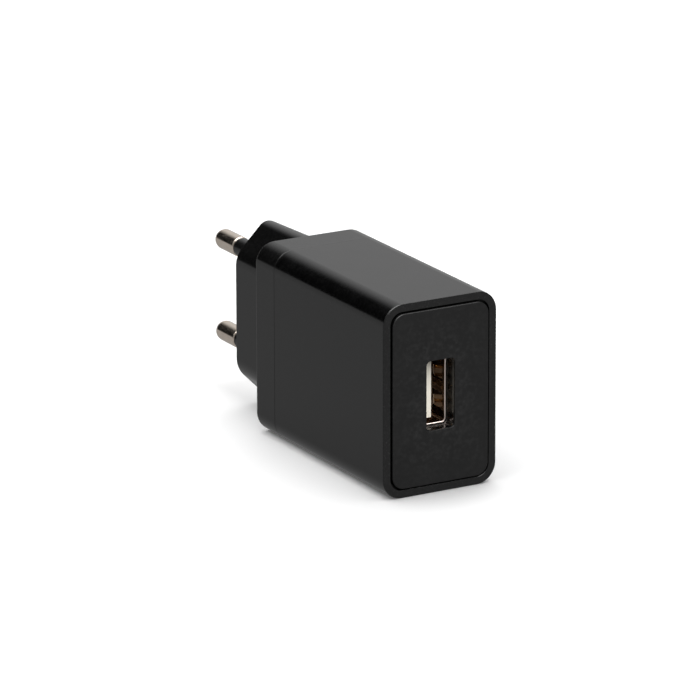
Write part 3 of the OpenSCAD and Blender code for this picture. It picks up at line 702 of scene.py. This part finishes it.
def plastic(name, dark, light, rough, grain_mm, depth_mm, edge_wear_and_highlight=0.0, rim=None, deep=None):
    """Moulded plastic: mottled colour, a fine moulded grain and slightly polished patches.
    Outer edges are lightened, partly as wear and partly as a painted highlight.

    rim is an optional (low mm, high mm, colour) band along Y with a coarser grain, sprinkled with
    painted highlight specks. deep is an optional (start mm, share) pair: past start along Y, the
    roughness is that share of the rest.
    """
    made = Surface(name)
    grain = made.noise(grain_mm, 2.0)
    colour = made.mix(made.remap(made.noise(4.0), 0.0, 1.0), dark, light)
    layers = [(grain, depth_mm), (made.noise(9.0, 1.0), depth_mm * 2)]
    if rim:
        low, high, paint = rim
        share = made.between(made.along("Y"), low, high)
        speckle = made.noise(0.22, 2.0)
        colour = made.mix(share, colour, paint)
        # Painted highlight: specks in the rim band, brightened to five times its colour.
        painted_glints = made.times(share, made.remap(speckle, 0.0, 1.0, 0.6, 0.75))
        colour = made.mix(painted_glints, colour, [5 * c for c in paint])
        layers.append((made.times(share, speckle), 0.012))
    if edge_wear_and_highlight:
        # Lighter outer edges: partly wear, partly a painted highlight.
        worn_and_highlit_edges = made.times(made.edge(), made.remap(made.noise(0.7, 4.0), 0.0, edge_wear_and_highlight, 0.45, 0.75))
        colour = made.mix(worn_and_highlit_edges, colour, [min(1.0, 6 * c + 0.03) for c in light])
    made.colour(colour)
    matt = made.remap(made.noise(6.0, 2.0), *rough)
    if deep:
        start, share = deep
        inside = made.between(made.along("Y"), start, start + BODY_H)
        matt = made.times(matt, made.remap(inside, 1.0, share, 0.0, 1.0))
    made.roughness(matt)
    made.relief(*layers)
    return made.material


def metal(name, dark, light, rough, stretch, tarnish=0.25, edge=None):
    """Plated or rolled metal: fine lines along the working direction and faint tarnish.

    edge is an optional (low mm, high mm, colour) band along Y at the cut edge, duller and painted
    pale as a highlight.
    """
    line_mm, line_depth, dulled = 0.12, 0.0015, 2.2
    made = Surface(name, metallic=1.0)
    lines = made.noise(line_mm, 2.0, stretch)
    blotch = made.remap(made.noise(1.6, 4.0), 0.0, tarnish, 0.4, 0.75)
    base = made.mix(made.remap(lines, 0.0, 1.0), dark, light)
    colour = made.mix(blotch, base, [c * 0.45 for c in dark])
    polish = made.remap(made.noise(0.8, 3.0), *rough)
    if edge:
        # A pale band at the cut edge: painted highlight.
        low, high, paint = edge
        share = made.between(made.along("Y"), low, high)
        colour = made.mix(share, colour, paint)
        polish = made.times(polish, made.remap(share, 1.0, dulled, 0.0, 1.0))
    made.colour(colour)
    made.roughness(polish)
    made.relief((lines, line_depth))
    return made.material


def board_material(name):
    """A single-sided board: bare brown laminate, and green mask over the tracks on its back."""
    made = Surface(name)
    tracks = made.node("ShaderNodeTexVoronoi", feature="DISTANCE_TO_EDGE", distance="CHEBYCHEV")
    tracks.inputs["Scale"].default_value = 1.0 / (3.0 * MM)
    made.link(made.place, tracks.inputs["Vector"])
    copper = made.remap(tracks.outputs["Distance"], 1.0, 0.0, 0.05, 0.09)
    weave = made.noise(0.35, 2.0)
    green = made.mix(made.remap(weave, 0.0, 1.0), (0.01, 0.075, 0.03), (0.016, 0.1, 0.045))
    masked = made.mix(copper, green, (0.03, 0.19, 0.07))
    laminate = made.mix(made.remap(weave, 0.0, 1.0), (0.05, 0.026, 0.012), (0.075, 0.04, 0.02))
    back = made.between(made.along("X"), (BOARD_LOW.x + BOARD_HIGH.x) / 2, BOARD_HIGH.x + 1)
    made.colour(made.mix(back, laminate, masked))
    made.roughness(made.remap(weave, 0.28, 0.42))
    made.relief((made.times(copper, back), 0.02), (weave, 0.004))
    return made.material


def resistor_material(name):
    """Blue lacquered ceramic with four plain colour bands."""
    first_band, pitch, band_l = 3.2, 1.3, 0.6
    paints = [(0.25, 0.1, 0.03), (0.01, 0.01, 0.01), (0.02, 0.02, 0.02), (0.6, 0.4, 0.1)]
    base = (0.2, 0.36, 0.48)
    made = Surface(name)
    place = made.along("X")
    grain = made.noise(0.3, 3.0)
    colour = made.mix(made.remap(grain, 0.0, 1.0), base, [c * 0.8 for c in base])
    start = box_mm("fusible_resistor")[0].x + first_band
    for i, paint in enumerate(paints):
        band = made.between(place, start + pitch * i, start + pitch * i + band_l)
        colour = made.mix(band, colour, paint)
    made.colour(colour)
    made.roughness(made.remap(grain, 0.3, 0.42))
    made.relief((grain, 0.006))
    return made.material


def capacitor_material(name, sleeve, node):
    """A shrink sleeve with a paler stripe, the can's bare aluminium top, and tinned leads."""
    low, high = box_mm(node)
    made = Surface(name)
    grain = made.noise(0.5, 3.0)
    middle_y = (low.y + high.y) / 2
    stripe = made.between(made.along("Y"), middle_y - 1.1, middle_y + 1.1)
    sleeve_colour = made.mix(made.remap(grain, 0.0, 1.0), sleeve, [c * 0.7 for c in sleeve])
    striped = made.mix(stripe, sleeve_colour, (0.35, 0.36, 0.36))
    sleeved = made.between(made.along("X"), low.x + 0.35, BOARD_LOW.x + 0.02)
    made.colour(made.mix(sleeved, (0.6, 0.6, 0.6), striped))
    made.link(made.remap(sleeved, 1.0, 0.0, 0.0, 1.0), made.shader.inputs["Metallic"])
    made.roughness(made.remap(grain, 0.25, 0.38))
    made.relief((grain, 0.006))
    return made.material


def tape_material(name):
    """Glossy yellow tape with lap lines, over the faint ridges of the wire."""
    made = Surface(name)
    wave = made.node("ShaderNodeTexWave", wave_type="BANDS", bands_direction="Z")
    wave.inputs["Scale"].default_value = 0.25 / (0.35 * MM)
    wave.inputs["Distortion"].default_value = 0.6
    made.link(made.place, wave.inputs["Vector"])
    ridges = wave.outputs["Fac"]
    made.colour(made.mix(ridges, (0.55, 0.33, 0.02), (0.74, 0.5, 0.04)))
    made.roughness(made.remap(made.noise(1.2), 0.14, 0.3))
    made.relief((ridges, 0.03), (made.noise(0.4, 2.0), 0.01))
    return made.material


MATERIALS = {
    "shell_plastic": plastic(
        "satin_black", (0.0009, 0.0009, 0.00095), (0.0013, 0.0013, 0.00135),
        (0.15, 0.19), 0.16, 0.0011, edge_wear_and_highlight=0.2,
        rim=(FRONT_Y - 0.1, FRONT_Y + 0.15, (0.004, 0.004, 0.004)),
    ),
    "cap_plastic": plastic(
        "cap_black", (0.0022, 0.0022, 0.0023), (0.003, 0.003, 0.0031),
        (0.15, 0.19), 0.16, 0.0011, edge_wear_and_highlight=0.2,
    ),
    "panel_plastic": plastic(
        "matt_black", (0.0011, 0.0011, 0.00115), (0.0016, 0.0016, 0.00165),
        (0.34, 0.4), 0.2, 0.0015, edge_wear_and_highlight=0.3, deep=(PANEL_Y + 0.4, 0.6),
    ),
    "sleeve_plastic": plastic(
        "sleeve_black", (0.0025, 0.0025, 0.0027), (0.004, 0.004, 0.0042),
        (0.2, 0.28), 0.15, 0.0015,
    ),
    "inner_plastic": plastic(
        "inner_grey", (0.05, 0.05, 0.055), (0.07, 0.07, 0.075), (0.45, 0.55), 0.2, 0.006,
    ),
    "usb_insulator": plastic(
        "cream_moulding", (0.72, 0.68, 0.58), (0.8, 0.76, 0.67), (0.3, 0.4), 0.18, 0.003,
    ),
    "clear_sheet": plastic(
        "polyester_sheet", (0.6, 0.54, 0.38), (0.68, 0.62, 0.46), (0.18, 0.26), 0.5, 0.002,
    ),
    "chip_black": plastic(
        "moulded_epoxy", (0.012, 0.012, 0.013), (0.02, 0.02, 0.021), (0.5, 0.62), 0.1, 0.008,
    ),
    "ferrite": plastic(
        "ground_ferrite", (0.045, 0.043, 0.045), (0.075, 0.072, 0.075), (0.45, 0.6), 0.12, 0.01,
    ),
    "bobbin_plastic": plastic(
        "phenolic_black", (0.014, 0.014, 0.017), (0.022, 0.022, 0.026), (0.4, 0.5), 0.2, 0.006,
    ),
    "ceramic_blue": plastic(
        "blue_lacquer", (0.02, 0.1, 0.32), (0.03, 0.13, 0.4), (0.2, 0.32), 0.4, 0.01,
    ),
    "chip_part": plastic(
        "chip_ceramic", (0.05, 0.04, 0.03), (0.09, 0.07, 0.05), (0.4, 0.5), 0.12, 0.006,
    ),
    "pin_nickel": metal(
        "pin_nickel", (0.84, 0.73, 0.62), (0.9, 0.8, 0.7), (0.15, 0.22), (1, 8, 1), tarnish=0.12,
    ),
    # The socket shell's steel is darkened: painted shade of the socket's inside.
    "usb_steel": metal(
        "socket_steel_painted_shade", (0.2, 0.12, 0.075), (0.27, 0.17, 0.11), (0.16, 0.24), (1, 8, 1),
        # The front edge is painted pale: a painted highlight.
        edge=(USB_FRONT - 0.1, USB_FRONT + 0.2, (0.92, 0.8, 0.74)),
    ),
    # A lighter copy of the socket's steel for the leaves: painted highlight on them.
    "leaf_steel": metal(
        "leaf_steel", (0.5, 0.36, 0.26), (0.6, 0.44, 0.33), (0.14, 0.22), (1, 8, 1),
    ),
    "contact_gold": metal(
        "contact_gold", (0.72, 0.5, 0.2), (0.82, 0.6, 0.27), (0.14, 0.24), (1, 6, 1),
    ),
    "spring_brass": metal(
        "spring_bronze", (0.6, 0.42, 0.2), (0.7, 0.5, 0.25), (0.22, 0.34), (1, 8, 1),
    ),
    "solder": metal("tin_solder", (0.55, 0.55, 0.57), (0.66, 0.66, 0.68), (0.2, 0.36), (1, 1, 1)),
    "board_green": board_material("solder_mask"),
    "winding_tape": tape_material("yellow_tape"),
    "resistor_body": resistor_material("resistor_lacquer"),
    "bulk_sleeve": capacitor_material("bulk_sleeve", (0.02, 0.03, 0.05), "bulk_capacitor_upper"),
    "output_sleeve": capacitor_material("output_sleeve", (0.03, 0.09, 0.05), "output_capacitor_upper"),
}


# ---- inner CAD nodes: their own meshes, with rounded edges and the slot's material ----


def dress_node(node, material):
    """Joins a CAD node's split points, rounds its edges and gives it a material."""
    piece = frame["nodes"][node]
    piece.data.materials.clear()
    piece.data.materials.append(material)
    weld = piece.modifiers.new("weld", "WELD")
    weld.merge_threshold = 0.001 * MM
    round_edges(piece, 0.06, angle=40.0)
    weigh_normals(piece)
    for polygon in piece.data.polygons:
        polygon.use_smooth = True


def choke_winding():
    """The filter choke: a ferrite drum with its wire as a real helix, and two leads."""
    low, high = box_mm("filter_choke")
    y, z = (low.y + high.y) / 2, (low.z + high.z) / 2
    board_x = BOARD_LOW.x
    drum_l, drum_r, core_r, end_t, turns, wire_r = 8.0, 3.0, 2.4, 1.2, 13, 0.2
    top_x = board_x - drum_l
    profile = [(0, 0.0), (drum_r - 0.2, 0.0), (drum_r, 0.2), (drum_r, end_t - 0.1), (drum_r - 0.1, end_t)]
    profile += [(core_r, end_t), (core_r, drum_l - end_t), (drum_r - 0.1, drum_l - end_t)]
    profile += [(drum_r, drum_l - end_t + 0.1), (drum_r, drum_l - 0.2), (drum_r - 0.2, drum_l), (0, drum_l)]
    across = Matrix.Rotation(-math.pi / 2, 4, "Z")
    drum = turned("choke_drum", profile, 0.0)
    drum.data.transform(Matrix.Translation((top_x * MM, y * MM, z * MM)) @ across)
    settle(drum, ROOT_BODY, "ferrite", MATERIALS["ferrite"], "filter_choke")
    lead_l, lead_r, lead_spread = high.x - board_x, 0.3, 2.5
    lead_profile = [(0, 0.0), (lead_r, 0.0), (lead_r, lead_l - 0.1), (lead_r - 0.1, lead_l), (0, lead_l)]
    for side_name, side in (("front", -1), ("back", 1)):
        lead = turned(f"choke_lead_{side_name}", lead_profile, 0.0)
        place = (board_x * MM, (y + side * lead_spread / 2) * MM, z * MM)
        lead.data.transform(Matrix.Translation(place) @ across)
        settle(lead, ROOT_BODY, "solder", MATERIALS["solder"], "filter_choke")
    curve = bpy.data.curves.new("choke_wire", "CURVE")
    curve.dimensions = "3D"
    curve.bevel_depth = wire_r * MM
    curve.bevel_resolution = 3
    line = curve.splines.new("POLY")
    per_turn = 24
    total = turns * per_turn
    line.points.add(total)
    length = drum_l - 2 * end_t - 2 * wire_r
    for i in range(total + 1):
        a = 2 * math.pi * i / per_turn
        x = top_x + end_t + wire_r + length * i / total
        place = (x, y + (core_r + wire_r) * math.cos(a), z + (core_r + wire_r) * math.sin(a))
        line.points[i].co = (*(c * MM for c in place), 1.0)
    curve.materials.append(MATERIALS["spring_brass"])
    wire = bpy.data.objects.new("choke_wire", curve)
    bpy.context.scene.collection.objects.link(wire)
    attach(wire, ROOT_BODY)


# ---- the set: camera, floor and lights ----


def make_camera():
    """A long lens, as the product's picture has, set by azimuth, elevation and distance."""
    azimuth, elevation, roll = (math.radians(d) for d in (-29.613, 17.077, -0.0975))
    distance, lens_mm = 1.1121, 300.54
    aim = Vector((6.498, -20.428, -4.266)) * MM
    back = Vector((
        math.sin(azimuth) * math.cos(elevation),
        -math.cos(azimuth) * math.cos(elevation),
        math.sin(elevation),
    ))
    right = Vector((math.cos(azimuth), math.sin(azimuth), 0.0))
    up = back.cross(right)
    right, up = (
        math.cos(roll) * right + math.sin(roll) * up,
        math.cos(roll) * up - math.sin(roll) * right,
    )
    data = bpy.data.cameras.new("camera")
    data.lens = lens_mm
    data.sensor_width = 36.0
    data.clip_start = 0.05
    data.clip_end = 20.0
    camera = bpy.data.objects.new("camera", data)
    place = aim + distance * back
    camera.matrix_world = Matrix((
        (right.x, up.x, back.x, place.x),
        (right.y, up.y, back.y, place.y),
        (right.z, up.z, back.z, place.z),
        (0.0, 0.0, 0.0, 1.0),
    ))
    bpy.context.scene.collection.objects.link(camera)
    bpy.context.scene.camera = camera


def make_floor():
    """A wide white table, lit a little from below, at the height that the charger stands on."""
    bm = bmesh.new()
    half = 4.0
    bmesh.ops.create_grid(bm, x_segments=8, y_segments=8, size=half)
    bmesh.ops.translate(bm, vec=(0, 0, SHELL_LOW.z * MM), verts=bm.verts)
    mesh = bpy.data.meshes.new("floor")
    bm.to_mesh(mesh)
    bm.free()
    floor = bpy.data.objects.new("floor", mesh)
    bpy.context.scene.collection.objects.link(floor)
    table = bpy.data.materials.new("lit_table")
    table.use_nodes = True
    tree = table.node_tree
    shader = tree.nodes["Principled BSDF"]
    shader.inputs["Roughness"].default_value = 0.9
    shader.inputs["Specular IOR Level"].default_value = 0.0
    shader.inputs["Emission Color"].default_value = (1.0, 1.0, 1.0, 1.0)
    seen = tree.nodes.new("ShaderNodeLightPath").outputs["Is Camera Ray"]
    for low, high, socket in ((0.08, 0.92, "Base Color"), (0.235, 0.04, "Emission Strength")):
        ramp = tree.nodes.new("ShaderNodeMapRange")
        ramp.inputs["To Min"].default_value = low
        ramp.inputs["To Max"].default_value = high
        tree.links.new(seen, ramp.inputs["Value"])
        tree.links.new(ramp.outputs["Result"], shader.inputs[socket])
    floor.data.materials.append(table)


def make_world():
    """A studio around the charger, which lights it and shows in its reflections.

    There is a soft box overhead, a wide card behind on the right and a band of light high above
    both sides. The room is dim, and nearly black straight behind. The camera itself sees plain
    white behind the table.
    """
    overhead, card, back, room, dark = 1.7, 0.585, 1.3, 0.2, 0.004
    world = bpy.data.worlds.new("studio")
    world.use_nodes = True
    tree = world.node_tree
    tree.nodes.clear()

    def math_node(operation, first, second):
        made = tree.nodes.new("ShaderNodeMath")
        made.operation = operation
        for value, target in ((first, made.inputs[0]), (second, made.inputs[1])):
            if isinstance(value, bpy.types.NodeSocket):
                tree.links.new(value, target)
            else:
                target.default_value = value
        return made.outputs[0]

    def fade(source, start, end):
        """0 before start and 1 after end, smoothly."""
        made = tree.nodes.new("ShaderNodeMapRange")
        made.interpolation_type = "SMOOTHSTEP"
        made.inputs["From Min"].default_value = start
        made.inputs["From Max"].default_value = end
        tree.links.new(source, made.inputs["Value"])
        return made.outputs["Result"]

    split = tree.nodes.new("ShaderNodeSeparateXYZ")
    tree.links.new(tree.nodes.new("ShaderNodeTexCoord").outputs["Generated"], split.inputs[0])
    depth, height = split.outputs["Y"], split.outputs["Z"]
    azimuth = math_node("ARCTAN2", split.outputs["X"], split.outputs["Y"])
    turn = [math.radians(a) for a in (-14, 21, 60, 80)]
    above = fade(height, math.sin(math.radians(46)), math.sin(math.radians(56)))
    beside = math_node("MULTIPLY", fade(azimuth, turn[0], turn[1]), fade(azimuth, turn[3], turn[2]))
    beside = math_node("MULTIPLY", beside, fade(height, -0.01, 0.02))
    low, high = math.sin(math.radians(26)), math.sin(math.radians(34))
    behind = math_node("MULTIPLY", fade(depth, 0.0, 0.2), fade(depth, 0.7, 0.6))
    behind = math_node("MULTIPLY", behind, fade(height, low, high))
    light = math_node("MULTIPLY_ADD", above, overhead)
    light.node.inputs[2].default_value = dark
    light = math_node("ADD", light, math_node("MULTIPLY", beside, card))
    light = math_node("ADD", light, math_node("MULTIPLY", behind, back))
    light = math_node("ADD", light, math_node("MULTIPLY", fade(depth, 0.7, 0.5), room))
    out = tree.nodes.new("ShaderNodeOutputWorld")
    mix = tree.nodes.new("ShaderNodeMixShader")
    seen = tree.nodes.new("ShaderNodeLightPath").outputs["Is Camera Ray"]
    studio, white = tree.nodes.new("ShaderNodeBackground"), tree.nodes.new("ShaderNodeBackground")
    tree.links.new(light, studio.inputs["Strength"])
    for background in (studio, white):
        background.inputs["Color"].default_value = (1.0, 1.0, 1.0, 1.0)
    tree.links.new(seen, mix.inputs[0])
    tree.links.new(studio.outputs[0], mix.inputs[1])
    tree.links.new(white.outputs[0], mix.inputs[2])
    tree.links.new(mix.outputs[0], out.inputs[0])
    bpy.context.scene.world = world


def make_lamp(name, azimuth_deg, elevation_deg, size, watts, floor_state):
    """A square soft box 1.5 m away that either skips the floor or lights nothing else."""
    azimuth, elevation, distance = math.radians(azimuth_deg), math.radians(elevation_deg), 1.5
    way = Vector((
        math.sin(azimuth) * math.cos(elevation),
        math.cos(azimuth) * math.cos(elevation),
        math.sin(elevation),
    ))
    data = bpy.data.lights.new(name, "AREA")
    data.shape = "SQUARE"
    data.size = size
    data.energy = watts
    lamp = bpy.data.objects.new(name, data)
    lamp.location = way * distance
    lamp.rotation_euler = way.to_track_quat("Z", "Y").to_euler()
    lamp.visible_camera = False
    bpy.context.scene.collection.objects.link(lamp)
    flagged = bpy.data.collections.new("flag_" + name)
    flagged.objects.link(bpy.data.objects["floor"])
    lamp.light_linking.receiver_collection = flagged
    flagged.collection_objects[0].light_linking.link_state = floor_state
    return lamp


make_camera()
make_floor()
make_world()
make_lamp("soft_box", 178, 38, 1.1, 26.0, "EXCLUDE")
make_lamp("floor_fill", -95, 40, 1.2, 4.0, "INCLUDE").visible_glossy = False
bpy.context.scene.view_settings.view_transform = "Standard"

settle(shell_moulding(), ROOT_BODY, "shell_plastic", MATERIALS["shell_plastic"], "main_shell")
settle(rear_moulding(), ROOT_BODY, "shell_plastic", MATERIALS["cap_plastic"], "rear_cap")
settle(panel_moulding(), ROOT_BODY, "panel_plastic", MATERIALS["panel_plastic"], "front_panel")
for level, z in (("upper", PIN_Z), ("lower", -PIN_Z)):
    settle(
        pin_turned(f"pin_{level}_turned", z),
        ROOT_BODY, "pin_nickel", MATERIALS["pin_nickel"], f"pin_{level}",
    )
    settle(
        sleeve_moulding(f"sleeve_{level}_moulding", z),
        ROOT_BODY, "sleeve_plastic", MATERIALS["sleeve_plastic"], f"sleeve_{level}",
    )
settle(usb_shell_sheet(), ROOT_BODY, "usb_steel", MATERIALS["usb_steel"], "usb_shell")
for side_name, side in (("right", 1), ("left", -1)):
    for level, z in (("upper", LEAF_Z), ("lower", -LEAF_Z)):
        leaf = f"leaf_{side_name}_{level}"
        settle(
            leaf_strip(f"usb_{leaf}_strip", side, USB_Z + z),
            leaf, "usb_steel", MATERIALS["leaf_steel"], f"usb_{leaf}",
        )
for number in (1, 2, 3, 4):
    low, high = box_mm(f"usb_wiper_{number}")
    settle(
        wiper_strip(f"usb_wiper_{number}_strip", (low.z + high.z) / 2),
        f"wiper_{number}", "contact_gold", MATERIALS["contact_gold"], f"usb_wiper_{number}",
    )

SLOT_OF = {row["node"]: row["material_slot"] for row in frame["record"]["subparts"]}
choke_winding()
for node in sorted(frame["nodes"]):
    if not frame["nodes"][node].hide_render:
        dress_node(node, MATERIALS[SLOT_OF[node]])
